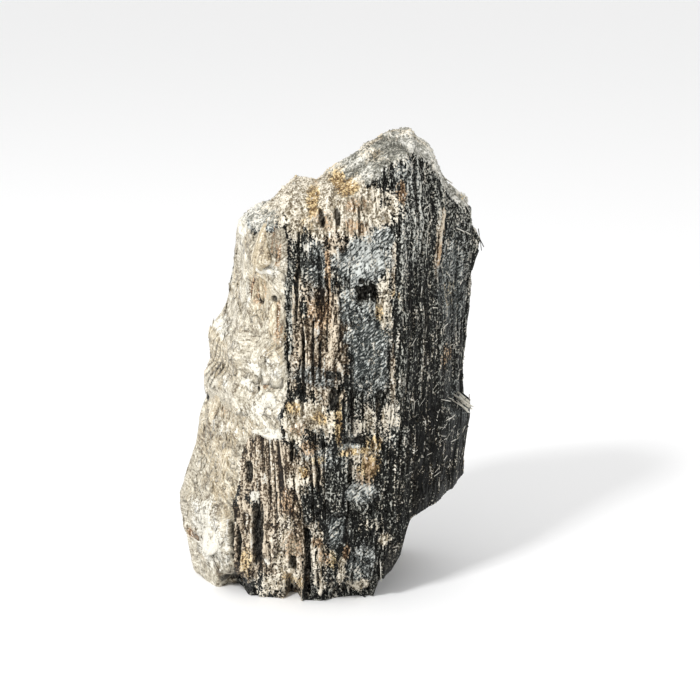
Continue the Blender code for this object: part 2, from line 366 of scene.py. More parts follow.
# Bare black places in the mica, plain facets painted dark as shade, and open sheets whose edges show as
# parallel lines of painted shade, which are turned this many radians from upright and this many millimetres
# apart.
BARE = [(-19.9, 63.0, 0.5, 2.6, 1.1), (-25.6, 37.6, 0.7, 1.8, 1.0), (-17.6, 74.5, 0.8, 1.2, 1.2)]
SMOOTH = [(11.6, 7.4, 1.6, 3.4, 1.0)]
FAN = [(-20.6, 47.4, 2.0, 2.2, 1.0), (-22.0, 44.8, 2.0, 2.4, 1.0), (-23.8, 41.6, 1.2, 2.2, 1.0)]
FAN_TURN, FAN_STEP = 0.5, 0.75
# Columns so narrow that they read as stripes.
STRIATED = [(-12.0, 27.4, 5.0, 7.8, 1.3), (-2.8, 31, 3, 3, 1.0), (13, 60, 1.4, 14, 0.9)]

# How far the sides stand out beyond the plain form, as (height, amount).
LEFT_BULGE = [
    (3, 0.6), (8, 0.3), (11, 0.6), (13, 1.3), (16.5, 1.7), (18.5, 1.1), (24, 0.5), (27, 0.2), (29, 0.3),
    (32, 0.4), (34, 0.2), (37, 0), (39, 0.9), (41.5, 1.4), (44.5, 0.8), (46.5, 1.2), (49.2, 2.1), (51, 1.6),
    (54, 0.5), (58, 0), (68, 0.4), (72, 0.8), (76, 0.3),
]
RIGHT_BULGE = [
    (22, 0), (28, 0.5), (33, 0.8), (35.8, 0.7), (37.2, -0.9), (41, -1.1), (44, -0.9), (49, -0.3),
    (58, -0.2), (61, -0.9), (66, -0.9), (70, -0.5), (73, 0.1), (76, 0.6), (80, 0),
]

# Where the base's front edge is broken back.
BASE_CHIPS = [(-19.5, 0, 2.2, 8, 5.5), (-7.8, 0, 1.4, 6, 4.0), (4, 0, 4.5, 6, 2.2), (10, 0, 2, 6, 1.5)]

# How the mica's sheets are turned from upright, in radians, by height.
SHEET_TURN = [
    (0, 0.2), (11, 0.1), (17, -0.45), (28, -0.6), (35, -0.4), (41, 0.6), (54, 0.75), (66, 0.3), (76, 0.6),
]


def spots(p, places, ragged, seed, combine=np.maximum, corner=2.0, grain=2.4, edge=(1.5, 0.5)):
    """Ragged ovals on the front: the amount in the middle, half of it at the edge, nothing beyond.
    A higher corner number makes them squarer. Edge says where, in half widths, they fade out and are full."""
    cover = np.zeros(p.shape[:-1], np.float32)
    rag = ragged * layered_noise(p, grain, seed, 3)
    for x, z, width, height, amount in places:
        across, up = np.abs(p[..., 0] - x) / width, np.abs(p[..., 2] - z) / height
        away = (across ** corner + up ** corner) ** (1 / corner)
        cover = combine(cover, amount * smoothstep(*edge, away + rag))
    return cover * smoothstep(6, 2, p[..., 1])


def columns(p, sizes, seed):
    """Long broken columns of several widths, each width a stack of tall cells that step up and down, with
    a groove round some of them. sizes are (width, length, strength, share of its own tone). Gives the height,
    the grooves and the tone."""
    q = p.copy()
    q[:, 0] += LEAN * p[:, 2]
    q += 0.3 * soft_noise(q, (3, 3, 14), seed + 90)
    height, grooves, tone = 0, 0, 0
    for k, (width, length, strength, toned) in enumerate(sizes):
        step, inside, own = facets(q, (width, width, length), seed + 50 * k, 0.5)
        height = height + strength * step
        deep = np.exp(-inside * width / GROOVE_WIDTH) * (0.3 + 0.9 * (own > 0.62))
        grooves = np.maximum(grooves, min(1, strength * 2.0) * deep)
        tone = tone + toned * (2 * own - 1)
    broken = smoothstep(-0.25, 0.2, soft_noise(q, (1.6, 1.6, 4.5), seed + 91)[:, 1])
    grooves = grooves * (0.3 + 0.7 * broken)
    return height - 0.45 * grooves, np.clip(grooves, 0, 1), tone


def hackle(p, sizes, tilt, seed):
    """Rough broken ground: small planes of several sizes, tilted all ways, with a crack round half of them.
    sizes are (size, strength). Gives what columns() gives."""
    q = p + 0.5 * soft_noise(p, 2.5, seed + 90)
    height, grooves, tone = 0, 0, 0
    for k, (size, strength) in enumerate(sizes):
        step, inside, own = facets(q, size, seed + 50 * k, tilt)
        height = height + strength * step
        grooves = np.maximum(grooves, min(1, strength * 1.5) * np.exp(-inside / 0.08) * (own > 0.5))
        tone = tone + 0.5 * (2 * own - 1)
    return height, grooves, tone


SHEET_STEP = 2.9


def sheet_phase(p, seed):
    """Counts the mica's sheets across: each of its overlapping plates is slanted its own way round the slant
    usual at its height, and all are bent by wide and narrow swirls."""
    q = p + 2.0 * soft_noise(p, 6, seed + 3)
    own = scatter(nearest_cell(q, (8, 8, 11), seed + 4)[2], seed + 5)
    turn = np.interp(p[:, 2], *zip(*SHEET_TURN)) + 0.9 * (own[:, 0] - 0.5)
    slant = np.cos(turn) * (p[:, 0] + 10) + 0.4 * p[:, 1] - np.sin(turn) * (p[:, 2] - 40) + 40 * own[:, 1]
    return slant + 1.1 * soft_noise(p, 9, seed)[:, 0] + 0.3 * soft_noise(p, 3, seed + 1)[:, 0]


def mica_skin(p, seed):
    """Mica: soft folds, large flakes and small chips, and steps where its sheets end, a saw-tooth of the
    sheets' count. Chips and steps fade out on smooth patches. Gives what columns() gives."""
    fold = soft_noise(p, 9, seed)
    fine = soft_noise(p, 2.2, seed + 1)
    q = p + 1.8 * fold + 0.5 * fine
    flake, inside, own = facets(q, (5.5, 5.5, 8.0), seed + 2, 0.8)
    chip, chip_inside, chip_own = facets(q, (1.6, 1.6, 2.6), seed + 3, 0.9)
    phase = sheet_phase(p, seed + 7)
    coarse = phase / SHEET_STEP - np.floor(phase / SHEET_STEP)
    rough = smoothstep(0.3, -0.2, layered_noise(p, 6, seed + 9, 2))
    height = 0.5 * fold[:, 1] + 0.2 * flake + rough * (0.06 * chip + 0.14 * (coarse - 0.5))
    edge = 0.8 * np.exp(-50 * inside) * (own > 0.66) + 0.4 * np.exp(-18.75 * chip_inside) * (chip_own > 0.86)
    tone = (2 * own - 1) + 0.5 * rough * (2 * chip_own - 1) - 0.4 * rough
    return height, np.clip(edge * rough, 0, 1), tone


def slots(p, across, seed):
    """Narrow upright slots where slivers have fallen out: about one tall cell in five has one along its
    middle, 1 in the slot and 0 outside it."""
    offset, _, owner = nearest_cell(p, (2.4, 2.4, 19), seed)
    side = (offset * across).sum(-1)
    own = scatter(owner, seed + 5)
    width = 0.05 + 0.07 * own[:, 1]
    open_here = smoothstep(1.5, 0.7, np.abs(side) / width) * smoothstep(0.5, 0.35, np.abs(offset[:, 2]))
    return open_here * (own[:, 0] > 0.78)


MICA_SEAM = [
    (0, -19.6), (20, -19.8), (23, -18.2), (30, -17), (33.4, -15.8), (34.4, -9.4), (45, -8.6), (74, -8.6),
    (94, -9.5),
]
MICA_BACK = -15.5                 # where the seam is at the back
MICA_OVER_RIM = 3.5               # how far the mica reaches over the rim at the back
SPILL = 5                         # how far the sides' columns reach over the rim there, in places
RIM_WEAR, RIM_WEAR_REACH = 0.5, 1.5
# The spots of each finish on the front, how ragged they are, and their seed.
FRONT = {
    "pearl": (PEARL, 0.35, 61), "cream": (CREAM, 0.4, 66), "ochre": (OCHRE, 0.5, 62), "rust": (RUST, 0.4, 63),
    "brown": (BROWN, 0.35, 64), "white": (WHITE, 0.5, 65), "tan": (TAN, 0.5, 67),
}
# Patches at the back and on top: finish, amount, where the noise starts to count, its cell size and seed.
REAR = [
    ("mica", 1.2, 0.42, (8, 8, 12), 85), ("pearl", 1.1, 0.12, (9, 9, 15), 81),
    ("cream", 1.0, 0.22, (8, 8, 11), 82), ("brown", 1.1, 0.12, (6, 6, 26), 83),
    ("rust", 0.8, 0.35, (5, 5, 9), 84), ("ochre", 0.7, 0.40, (5, 5, 6), 87),
    ("tan", 1.0, -0.1, (7, 7, 12), 88), ("white", 0.9, 0.38, (5, 5, 8), 89),
]

BLOCK_COLUMNS = ((4.6, 20, 0.65, 0), (2.0, 7, 0.46, 0.8), (0.95, 3.2, 0.34, 0.8), (0.48, 1.8, 0.2, 0.5))
STRIPE_COLUMNS = ((2.6, 26, 0.3, 0), (1.0, 18, 0.34, 0.8), (0.55, 12, 0.26, 0.8))
LONG_COLUMNS = ((6.5, 70, 0.45, 0), (2.4, 26, 0.34, 0.8), (1.0, 13, 0.24, 0.8), (0.48, 6, 0.12, 0.5))
TOP_HACKLE = ((7.0, 0.6), (2.8, 0.22), (1.1, 0.11), (0.5, 0.06))
PEARL_HACKLE = ((2.6, 0.3), (1.1, 0.28), (0.55, 0.18))
# Slants and flattens the cells of the blue-grey cleaved ground.
CLEAVED_TURN = np.array([[0.6, 0, 0.5], [0, 1, 0], [-0.8, 0, 0.36]]).T


def over(weight, work, *given):
    """Runs a surface function only where its weight counts, and gives its results over all points."""
    used = weight > 0.002
    results = work(*(array[used] for array in given))
    full = [np.zeros(len(weight), np.float32) for _ in results]
    for place, result in zip(full, results):
        place[used] = result
    return full


def finish_masks(p, row, first_top, wander):
    """Where each finish lies. The broken top starts at the rim, the mica left of its seam, and the others
    have their spots on the front and patches of noise behind. Also gives how far in from the rim it is."""
    x, y, z = p.T
    behind = np.maximum(smoothstep(1, 8, y), smoothstep(-9, -3, y) * (row >= first_top))
    rear = {key: behind * amount * smoothstep(low, low + 0.3, layered_noise(p, size, seed, 3))
            for key, amount, low, size, seed in REAR}

    from_rim = RING_STEP * (row - first_top)
    beyond = np.where(row >= first_top, from_rim, z - top_height(x, y))
    beyond = beyond - SPILL * smoothstep(-0.1, 0.5, layered_noise(p, 7, 90, 3)) * smoothstep(-6, 0, y)
    on_top = smoothstep(-2.6, 0.4, beyond - 2.2 * wander)

    seam_front = profile(MICA_SEAM, z + 2.5 * layered_noise(p, 4, 5, 3))
    seam_behind = MICA_BACK + 7 * layered_noise(p, (5, 5, 14), 86, 3)
    mica = smoothstep(0.6, -0.6, x - np.where(y < 0, seam_front, seam_behind) + 1.3 * wander)
    mica = np.maximum(mica, rear.pop("mica") * smoothstep(8, -6, x))
    mica = mica * smoothstep(0.4, 3.0, 2 * wander - beyond + MICA_OVER_RIM * smoothstep(-4, 3, y))
    mica = mica * (1 - spots(p, BARE, 0.5, 70).clip(0, 1))

    masks = {key: spots(p, places, ragged, seed) for key, (places, ragged, seed) in FRONT.items()}
    for key, patch in rear.items():
        masks[key] = np.maximum(masks[key], patch)
    masks["mica"] = mica
    masks["on_top"] = on_top
    return masks, from_rim


def broken_ground(p, masks, right, stripes, smooth_ground):
    """Height, grooves and tone of the ground: columns, stripes, hackle or mica, each weighted by its zone."""
    mica, on_top = masks["mica"], masks["on_top"]
    rest = (1 - mica) * (1 - on_top)
    left = rest * (1 - right)
    turned = p @ CLEAVED_TURN
    parts = [
        (left * (1 - 0.75 * smooth_ground) * (1 - stripes),
         over(left, lambda q: columns(q, BLOCK_COLUMNS, 100), p)),
        (left * stripes, over(stripes, lambda q: columns(q, STRIPE_COLUMNS, 3100), p)),
        (rest * right, over(rest * right, lambda q: columns(q, LONG_COLUMNS, 400), p)),
        (rest * 0.8 * smooth_ground,
         over(smooth_ground, lambda q: hackle(q, PEARL_HACKLE, 1.2, 1500), turned)),
        (on_top, over(on_top, lambda q: hackle(q, TOP_HACKLE, 0.9, 700), p)),
        (mica * (1 - on_top), over(mica, lambda q: mica_skin(q, 1000), p)),
    ]
    return (sum(weight * part[k] for weight, part in parts) for k in range(3))


def sheet_edges(x, z, wander):
    """Parallel lines of painted shade where sheets lie open: near each whole step along a slanting direction.
    """
    steps = (np.cos(FAN_TURN) * x - np.sin(FAN_TURN) * z + 0.25 * wander) / FAN_STEP
    return smoothstep(0.26, 0.1, np.abs(steps - np.round(steps)))


def break_up(points, normals, first_side, first_top):
    """The lump's real surface: the ground of each zone, then slots, hollows and sheet edges cut in, low
    swells, a worn rim at the back, and the outline's bulges. Points move outwards by the height that all this
    adds up to. Gives the points and the masks that the finishes read, among them the painted shade of the
    grooves, hollows, slots, sheet edges and one plain facet, and the relief that is painted as light and
    shade."""
    shape = points.shape[:2]
    row = np.repeat(np.arange(shape[0]), shape[1])
    p = points.reshape(-1, 3)
    out = normals.reshape(-1, 3)
    x, y, z = p.T
    wander = layered_noise(p, 6, 3, 4)
    masks, from_rim = finish_masks(p, row, first_top, wander)
    full = {key: mask.clip(0, 1) for key, mask in masks.items()}
    right = smoothstep(10.5, 14, x + 1.5 * wander)
    stripes = spots(p, STRIATED, 0.3, 69).clip(0, 1)
    smooth_ground = np.clip(masks["pearl"] + 0.5 * masks["cream"], 0, 1) * (1 - right) * (1 - full["brown"])
    height, groove, tone = broken_ground(p, masks, right, stripes, smooth_ground)
    groove = groove * (1 - 0.75 * np.maximum(full["on_top"], full["cream"]))
    groove = groove * (1 - 0.6 * full["brown"]) * (1 - 0.5 * stripes)

    across = np.stack([-out[:, 1], out[:, 0], 0 * z], -1)
    cut = slots(p, across, 2000) * (1 - masks["mica"]) * (1 - masks["on_top"]) * (1 - 0.8 * smooth_ground)
    sheets = spots(p, FAN, 0.3, 71).clip(0, 1) * sheet_edges(x, z, wander)
    plain = spots(p, SMOOTH, 0.15, 72)
    hollow = spots(p, POCKETS, 0.45, 40, corner=4.0, grain=(0.8, 0.8, 2.4), edge=(1.2, 0.75))
    height = height * (1 - 0.9 * plain) + 0.7 * layered_noise(p, 12, 9, 2) - hollow - 0.8 * cut - 0.3 * sheets
    rim_wear = (RIM_WEAR + 0.9 * wander) * np.exp(-(from_rim / RIM_WEAR_REACH) ** 2)
    height = height - rim_wear * smoothstep(-2, 4, y)
    calm = 1 - 0.75 * smoothstep(5, 0, z - base_height(x, y)) * smoothstep(7, 12, x)
    calm = calm * (1 - 0.45 * smoothstep(0.6, 0.95, np.abs(out[:, 0])))
    height = height * np.where(row < first_side, 0.2, 1) * calm
    height = height + profile(LEFT_BULGE, z) * smoothstep(0.35, 0.75, -out[:, 0])
    height = height + profile(RIGHT_BULGE, z) * smoothstep(0.35, 0.75, out[:, 0])
    field = height.reshape(shape)
    fine = field - smoothed(field, 3)
    wide = field - smoothed(field, 12)

    moved = p + out * height[:, None]
    moved[:, 1] += spots(p, BASE_CHIPS, 0.2, 41, corner=3.0) * smoothstep(7, 0, z)
    under = (row < first_side) & (z < 0.01)
    moved[:, 2] = np.where(under, 0, np.maximum(moved[:, 2], 0))

    masks.update({
        # relief: how far each place stands out from its neighbours. It is painted as light and shade, raised
        # places lighter and sunk ones darker, and it also goes into the bump.
        "relief": (np.clip(fine / 0.16, -1, 1) + np.clip(wide / 0.5, -1, 1)).ravel(),
        # dark: painted shade, near-black, in the grooves, hollows, slots and open sheet edges and on one
        # plain facet.
        "dark": np.clip(np.max([0.8 * groove, 1.5 * hollow, 1.2 * cut, 0.8 * sheets, 0.9 * plain], 0), 0, 1),
        "sheet": sheet_phase(p, 1007),
        # On the right side the ground is lighter towards the top and darker towards the foot. With the
        # table's spots this is partly the ground's own tone and partly painted light and shade.
        "painted_light_and_tone": np.clip((z - 52) / 28, -1.1, 0.9) * smoothstep(9, 14, x) + spots(p, PAINTED_LIGHT_AND_TONE, 0.3, 68, np.add),
        "tone": tone,
    })
    return moved.reshape(points.shape), {key: mask.reshape(shape) for key, mask in masks.items()}


# ---------------------------------------------------------------- meshes

def grid_quads(index):
    """Quads of a grid, given its points' numbers."""
    return np.stack([index[:-1, :-1], index[:-1, 1:], index[1:, 1:], index[1:, :-1]], -1).reshape(-1, 4)


def fan(edge, tip):
    """Triangles from each step along an edge to one tip, all given as numbers of points."""
    return np.stack([edge[:-1], edge[1:], np.full(len(edge) - 1, tip)], -1)


def closed_patch(points, masks, rows, cols, core):
    """A closed piece of the lump: the patch of the surface between these rows and columns, and a fan from
    each of the patch's edges to a point inside the lump. Columns past the last start again at the first."""
    row = np.arange(*rows)
    col = np.arange(*cols) % points.shape[1]
    patch = points[np.ix_(row, col)].reshape(-1, 3)
    index = np.arange(len(patch)).reshape(len(row), len(col))
    whole = cols[1] - cols[0] == points.shape[1]
    if whole:
        index = np.concatenate([index, index[:, :1]], 1)
        edges = [index[0, ::-1], index[-1]]
    else:
        edges = [np.concatenate([index[0, ::-1], index[1:, 0], index[-1, 1:], index[-2::-1, -1]])]
    fans = [fan(edge, len(patch) + number) for number, edge in enumerate(edges)]
    values = {key: np.append(mask[np.ix_(row, col)], np.zeros(len(edges))) for key, mask in masks.items()}
    return np.concatenate([patch, core]), grid_quads(index), np.concatenate(fans), values


def write_mesh(name, points, quads, triangles, values, material, smooth=True):
    """Puts a surface in millimetres into a new object, with its masks as attributes."""
    mesh = bpy.data.meshes.new(name)
    corners = np.concatenate([quads.reshape(-1), triangles.reshape(-1)]).astype(np.int32)
    counts = np.repeat([4, 3], [len(quads), len(triangles)]).astype(np.int32)
    mesh.vertices.add(len(points))
    mesh.vertices.foreach_set("co", (points * MM).astype(np.float32).reshape(-1))
    mesh.loops.add(len(corners))
    mesh.loops.foreach_set("vertex_index", corners)
    mesh.polygons.add(len(counts))
    mesh.polygons.foreach_set("loop_start", np.append(0, np.cumsum(counts)[:-1]).astype(np.int32))
    mesh.polygons.foreach_set("loop_total", counts)
    mesh.update(calc_edges=True)
    if smooth:
        mesh.shade_smooth()
    for key, value in values.items():
        attribute = mesh.attributes.new(key, "FLOAT", "POINT")
        attribute.data.foreach_set("value", value.astype(np.float32).reshape(-1))
    mesh.materials.append(material)
    piece = bpy.data.objects.new(name, mesh)
    bpy.context.scene.collection.objects.link(piece)
    return piece


def strew(name, shapes, quads, triangles, where, frames, surface, masks, material):
    """Many small closed shapes as one piece. shapes are (count, points, 3) in each one's own frame of across,
    along and out. where picks the surface points that they stand on, whose masks they take."""
    placed = np.einsum("nkj,nji->nki", shapes, frames) + surface[where][:, None]
    per = shapes.shape[1]
    start = per * np.arange(len(shapes))[:, None, None]
    quads = (quads[None] + start).reshape(-1, 4)
    triangles = (triangles[None] + start).reshape(-1, 3)
    values = {key: np.repeat(mask[where], per) for key, mask in masks.items()}
    return write_mesh(name, placed.reshape(-1, 3), quads, triangles, values, material, smooth=False)


NO_QUADS = np.zeros((0, 4), int)
NO_TRIANGLES = np.zeros((0, 3), int)


def pick(rng, weight, count):
    """Random surface points, likelier where the weight is higher."""
    return rng.choice(len(weight), count, p=weight / weight.sum())


def frames_at(normals, where, lean, tilt, rng):
    """A frame at each point: across, along the columns, and out, turned and tilted at random."""
    out = normals[where] + tilt * rng.normal(size=(len(where), 3))
    out /= np.linalg.norm(out, axis=-1, keepdims=True)
    along = np.array([-LEAN, 0, 1]) + lean * rng.normal(size=(len(where), 3))
    along -= (along * out).sum(-1, keepdims=True) * out
    along /= np.linalg.norm(along, axis=-1, keepdims=True)
    return np.stack([np.cross(along, out), along, out], 1)


def lens_shapes(rng, size, thick):
    """Flakes: a ragged rim of seven points, between a low middle point above and one below."""
    turn = np.arange(7) * 2 * np.pi / 7 + rng.uniform(-0.3, 0.3, (len(size), 7))
    reach = size[:, None] * rng.uniform(0.55, 1.0, (len(size), 7))
    stretch = rng.uniform(0.5, 1.1, (len(size), 1))
    rim = np.stack([reach * np.cos(turn) * stretch, reach * np.sin(turn), 0 * turn], -1)
    middle = np.zeros((len(size), 2, 3))
    middle[:, 0, 2] = thick
    middle[:, 1, 2] = -thick
    ring = np.arange(8) % 7
    triangles = np.concatenate([fan(ring, 7), fan(ring[::-1], 8)])
    return np.concatenate([rim, middle], 1), NO_QUADS, triangles


def sliver_shapes(rng, width, length):
    """Slivers: five-sided prisms with uneven sides and slanting broken ends."""
    count = len(width)
    turn = np.arange(5) * 2 * np.pi / 5 + rng.uniform(-0.35, 0.35, (count, 5))
    reach = width[:, None] * rng.uniform(0.6, 1.0, (count, 5))
    x = reach * np.cos(turn)
    up = reach * np.sin(turn) * 0.7
    ends = []
    for side in (-0.5, 0.5):
        slope = rng.uniform(-1.5, 1.5, (count, 1))
        taper = rng.uniform(0.55, 1.0, (count, 1))
        ends.append(np.stack([x * taper, side * length[:, None] + slope * x, up * taper], -1))
    caps = np.stack([end.mean(1) for end in ends], 1)
    ring = np.arange(6) % 5
    triangles = np.concatenate([fan(ring, 10), fan(ring[::-1] + 5, 11)])
    return np.concatenate(ends + [caps], 1), grid_quads(np.stack([ring + 5, ring])), triangles


def grain_shapes(rng, size):
    """Grains: eight-faced lumps, each corner at its own reach along its axis and then shifted at random."""
    corners = np.array([(1, 0, 0), (0, 1, 0), (-1, 0, 0), (0, -1, 0), (0, 0, 1), (0, 0, -1)], float)
    shapes = corners * size[:, None, None] * rng.uniform(0.55, 1.15, (len(size), 6, 1))
    shapes = shapes + 0.25 * size[:, None, None] * rng.normal(size=(len(size), 6, 3))
    ring = np.arange(5) % 4
    return shapes, NO_QUADS, np.concatenate([fan(ring, 4), fan(ring[::-1], 5)])


# ---------------------------------------------------------------- finishes

def put(tree, kind, inputs=(), **settings):
    """Adds a node. Settings are its own properties. Inputs are pairs: a socket's name or index, and a value
    or another node's output."""
    made = tree.nodes.new(kind)
    for key, value in settings.items():
        setattr(made, key, value)
    for socket, value in inputs:
        if isinstance(value, bpy.types.NodeSocket):
            tree.links.new(value, made.inputs[socket])
        else:
            made.inputs[socket].default_value = value
    return made


def maths(tree, operation, a, b=0.0, clamp=False):
    """The result of one sum or product."""
    return put(tree, "ShaderNodeMath", [(0, a), (1, b)], operation=operation, use_clamp=clamp).outputs[0]


def ease(tree, value, low, high):
    """0 at low, 1 at high and smooth between."""
    inputs = [("Value", value), ("From Min", low), ("From Max", high)]
    return put(tree, "ShaderNodeMapRange", inputs, interpolation_type="SMOOTHSTEP").outputs[0]


def blend_colour(tree, share, a, b):
    """Colour a where the share is 0, b where it is 1."""
    return put(tree, "ShaderNodeMix", [(0, share), (6, a), (7, b)], data_type="RGBA").outputs[2]


def blend_value(tree, share, a, b):
    """Number a where the share is 0, b where it is 1."""
    return put(tree, "ShaderNodeMix", [(0, share), (2, a), (3, b)], data_type="FLOAT").outputs[0]


def combine(tree, operation, a, b):
    """The result of one sum or product, axis by axis."""
    return put(tree, "ShaderNodeVectorMath", [(0, a), (1, b)], operation=operation).outputs[0]


def new_group(name, inputs, outputs):
    """An empty node group with these named sockets, as (name, kind, starting value)."""
    tree = bpy.data.node_groups.new(name, "ShaderNodeTree")
    for label, kind, start in inputs:
        socket = tree.interface.new_socket(label, in_out="INPUT", socket_type="NodeSocket" + kind)
        if start is not None:
            socket.default_value = start
    for label, kind in outputs:
        tree.interface.new_socket(label, in_out="OUTPUT", socket_type="NodeSocket" + kind)
    return tree, put(tree, "NodeGroupInput").outputs, put(tree, "NodeGroupOutput").inputs


def srgb(red, green, blue):
    """A colour as it looks on a screen, from 0 to 255, turned into the share of light that it sends back."""
    parts = np.array([red, green, blue]) / 255
    linear = np.where(parts <= 0.04045, parts / 12.92, ((parts + 0.055) / 1.055) ** 2.4)
    return (*linear.tolist(), 1.0)


def use_group(tree, group, **inputs):
    """Adds a node group. Its inputs are named with _ for a space."""
    made = put(tree, "ShaderNodeGroup", node_tree=group)
    for label, value in inputs.items():
        socket = made.inputs[label.replace("_", " ")]
        if isinstance(value, bpy.types.NodeSocket):
            tree.links.new(value, socket)
        else:
            socket.default_value = value
    return made.outputs


def three_tone_group():
    """Strokes and grain, each times its strength, and the bias are added up. The sum is read as a dark colour
    at -0.25, the middle one at 0.5 and the light one at 1."""
    tree, given, wanted = new_group("three tones", [
        ("Strokes", "Vector", None), ("Stroke Strength", "Vector", None),
        ("Grain", "Vector", None), ("Grain Strength", "Vector", None), ("Bias", "Float", 0.0),
        ("Dark", "Color", None), ("Middle", "Color", None), ("Light", "Color", None),
    ], [("Color", "Color"), ("Value", "Float")])
    strokes, grain = (
        put(tree, "ShaderNodeVectorMath", [(0, given[what]), (1, given[strength])],
            operation="DOT_PRODUCT").outputs["Value"]
        for what, strength in (("Strokes", "Stroke Strength"), ("Grain", "Grain Strength")))
    value = maths(tree, "ADD", maths(tree, "ADD", strokes, grain), maths(tree, "ADD", given["Bias"], 0.5))
    lower = blend_colour(tree, ease(tree, value, -0.25, 0.5), given["Dark"], given["Middle"])
    tree.links.new(blend_colour(tree, ease(tree, value, 0.5, 1.0), lower, given["Light"]), wanted["Color"])
    tree.links.new(maths(tree, "ADD", value, 0.0, True), wanted["Value"])
    return tree


def noise_at(tree, place, scale, stretch=(1, 1, 1), turn=0.0, detail=2.0, roughness=0.5):
    """Noise centred on 0, stretched along the axes after turning the place about the y axis."""
    if turn:
        place = put(tree, "ShaderNodeVectorRotate", [("Vector", place), ("Angle", turn)],
                    rotation_type="Y_AXIS").outputs[0]
    place = combine(tree, "MULTIPLY", place, stretch)
    noise = put(tree, "ShaderNodeTexNoise",
                [("Vector", place), ("Scale", scale), ("Detail", detail), ("Roughness", roughness)])
    return maths(tree, "SUBTRACT", noise.outputs["Fac"], 0.5)


def together(tree, *values):
    """Up to three numbers in one vector socket."""
    return put(tree, "ShaderNodeCombineXYZ", list(enumerate(values))).outputs[0]


# Finishes by zone: strength of (fine, wide, slanting) strokes, or of the sheets' lines, and of (speckle,
# blotch, relief), of the ground's own tone and of the painted light and tone, bias, roughness, then the dark,
# middle and light colours. Later zones lie over earlier ones.
ZONES = [
    # The black zone's light tone, in its strokes and speckle, is partly grey dust and partly painted glints.
    ("black", (3.4, 2.2, 0), (5.8, 0.5, 0.24), 0.12, 0.34, -0.34, 0.42,
     srgb(8, 9, 8), srgb(57, 59, 54), srgb(184, 184, 175)),
    ("brown", (2.2, 3.0, 0), (4.8, 1.0, 0.32), 0.30, 0.4, -0.05, 0.55,
     srgb(32, 24, 17), srgb(118, 101, 80), srgb(211, 197, 175)),
    # The pearl zone's blue-grey is a painted sheen of flat cleaved faces.
    ("pearl", (0.3, 0.3, 6.2), (1.8, 1.4, 0.20), 0.08, 0.5, 0.12, 0.40,
     srgb(46, 51, 51), srgb(126, 131, 128), srgb(210, 213, 208)),
    ("on_top", (0.6, 1.0, 0.6), (3.4, 2.2, 0.20), 0.12, 0.25, 0.08, 0.60,
     srgb(78, 77, 70), srgb(164, 162, 150), srgb(232, 230, 221)),
    ("cream", (1.2, 1.4, 0), (4.6, 2.0, 0.24), 0.12, 0.3, 0.23, 0.60,
     srgb(96, 84, 67), srgb(180, 167, 142), srgb(236, 228, 211)),
    ("ochre", (1.2, 1.2, 0), (5.0, 1.8, 0.26), 0.12, 0.0, 0.10, 0.85,
     srgb(62, 46, 31), srgb(172, 140, 96), srgb(232, 208, 160)),
    ("mica", (3.6, 0, 0), (2.4, 1.9, 0.11), 0.13, 0.24, 0.04, 0.45,
     srgb(108, 97, 80), srgb(190, 182, 163), srgb(230, 224, 209)),
    ("tan", (3.8, 0, 0), (2.4, 1.9, 0.12), 0.13, 0.24, 0.0, 0.5,
     srgb(94, 80, 60), srgb(180, 165, 137), srgb(225, 215, 192)),
    ("rust", (2.6, 1.4, 0), (4.2, 1.6, 0.28), 0.12, 0.0, 0.0, 0.75,
     srgb(40, 28, 19), srgb(126, 98, 71), srgb(201, 174, 142)),
    ("white", (2.0, 0, 0), (1.4, 1.2, 0.10), 0.08, 0.0, 0.21, 0.55,
     srgb(160, 150, 130), srgb(210, 205, 190), srgb(231, 228, 218)),
]
SHEETED = ("mica", "tan", "white")           # these have the sheets' lines
CALM = ("mica", "on_top")                    # these have a less frayed edge
SOFT = ("tan", "pearl", "ochre")             # these fade in over a wider band
SOFT_EDGE, FIRM_EDGE = (0.3, 0.8), (0.42, 0.62)
DARKEST = 0.86                               # how much of the colour a groove's shade takes at its darkest


def sheet_lines(tree, place, sheet):
    """Lines along the mica's sheets: noise drawn out along them, and broken hairlines at every other step."""
    across = together(tree, maths(tree, "MULTIPLY", sheet, 2.6), 0.0, 0.0)
    drawn_out = combine(tree, "ADD", across, combine(tree, "MULTIPLY", place, (0.45,) * 3))
    soft = noise_at(tree, drawn_out, 1.0, detail=2.5, roughness=0.6)
    wobble = maths(tree, "MULTIPLY", noise_at(tree, place, 0.7), 2.0)
    phase = maths(tree, "ADD", maths(tree, "MULTIPLY", sheet, 1.25), wobble)
    hairline = ease(tree, maths(tree, "PINGPONG", phase, 0.5), 0.13, 0.02)
    unbroken = ease(tree, noise_at(tree, place, 0.55, detail=2.5), -0.04, 0.08)
    fine = maths(tree, "MULTIPLY", maths(tree, "MULTIPLY", hairline, unbroken), -0.08)
    return maths(tree, "ADD", maths(tree, "MULTIPLY", soft, 0.7), fine)


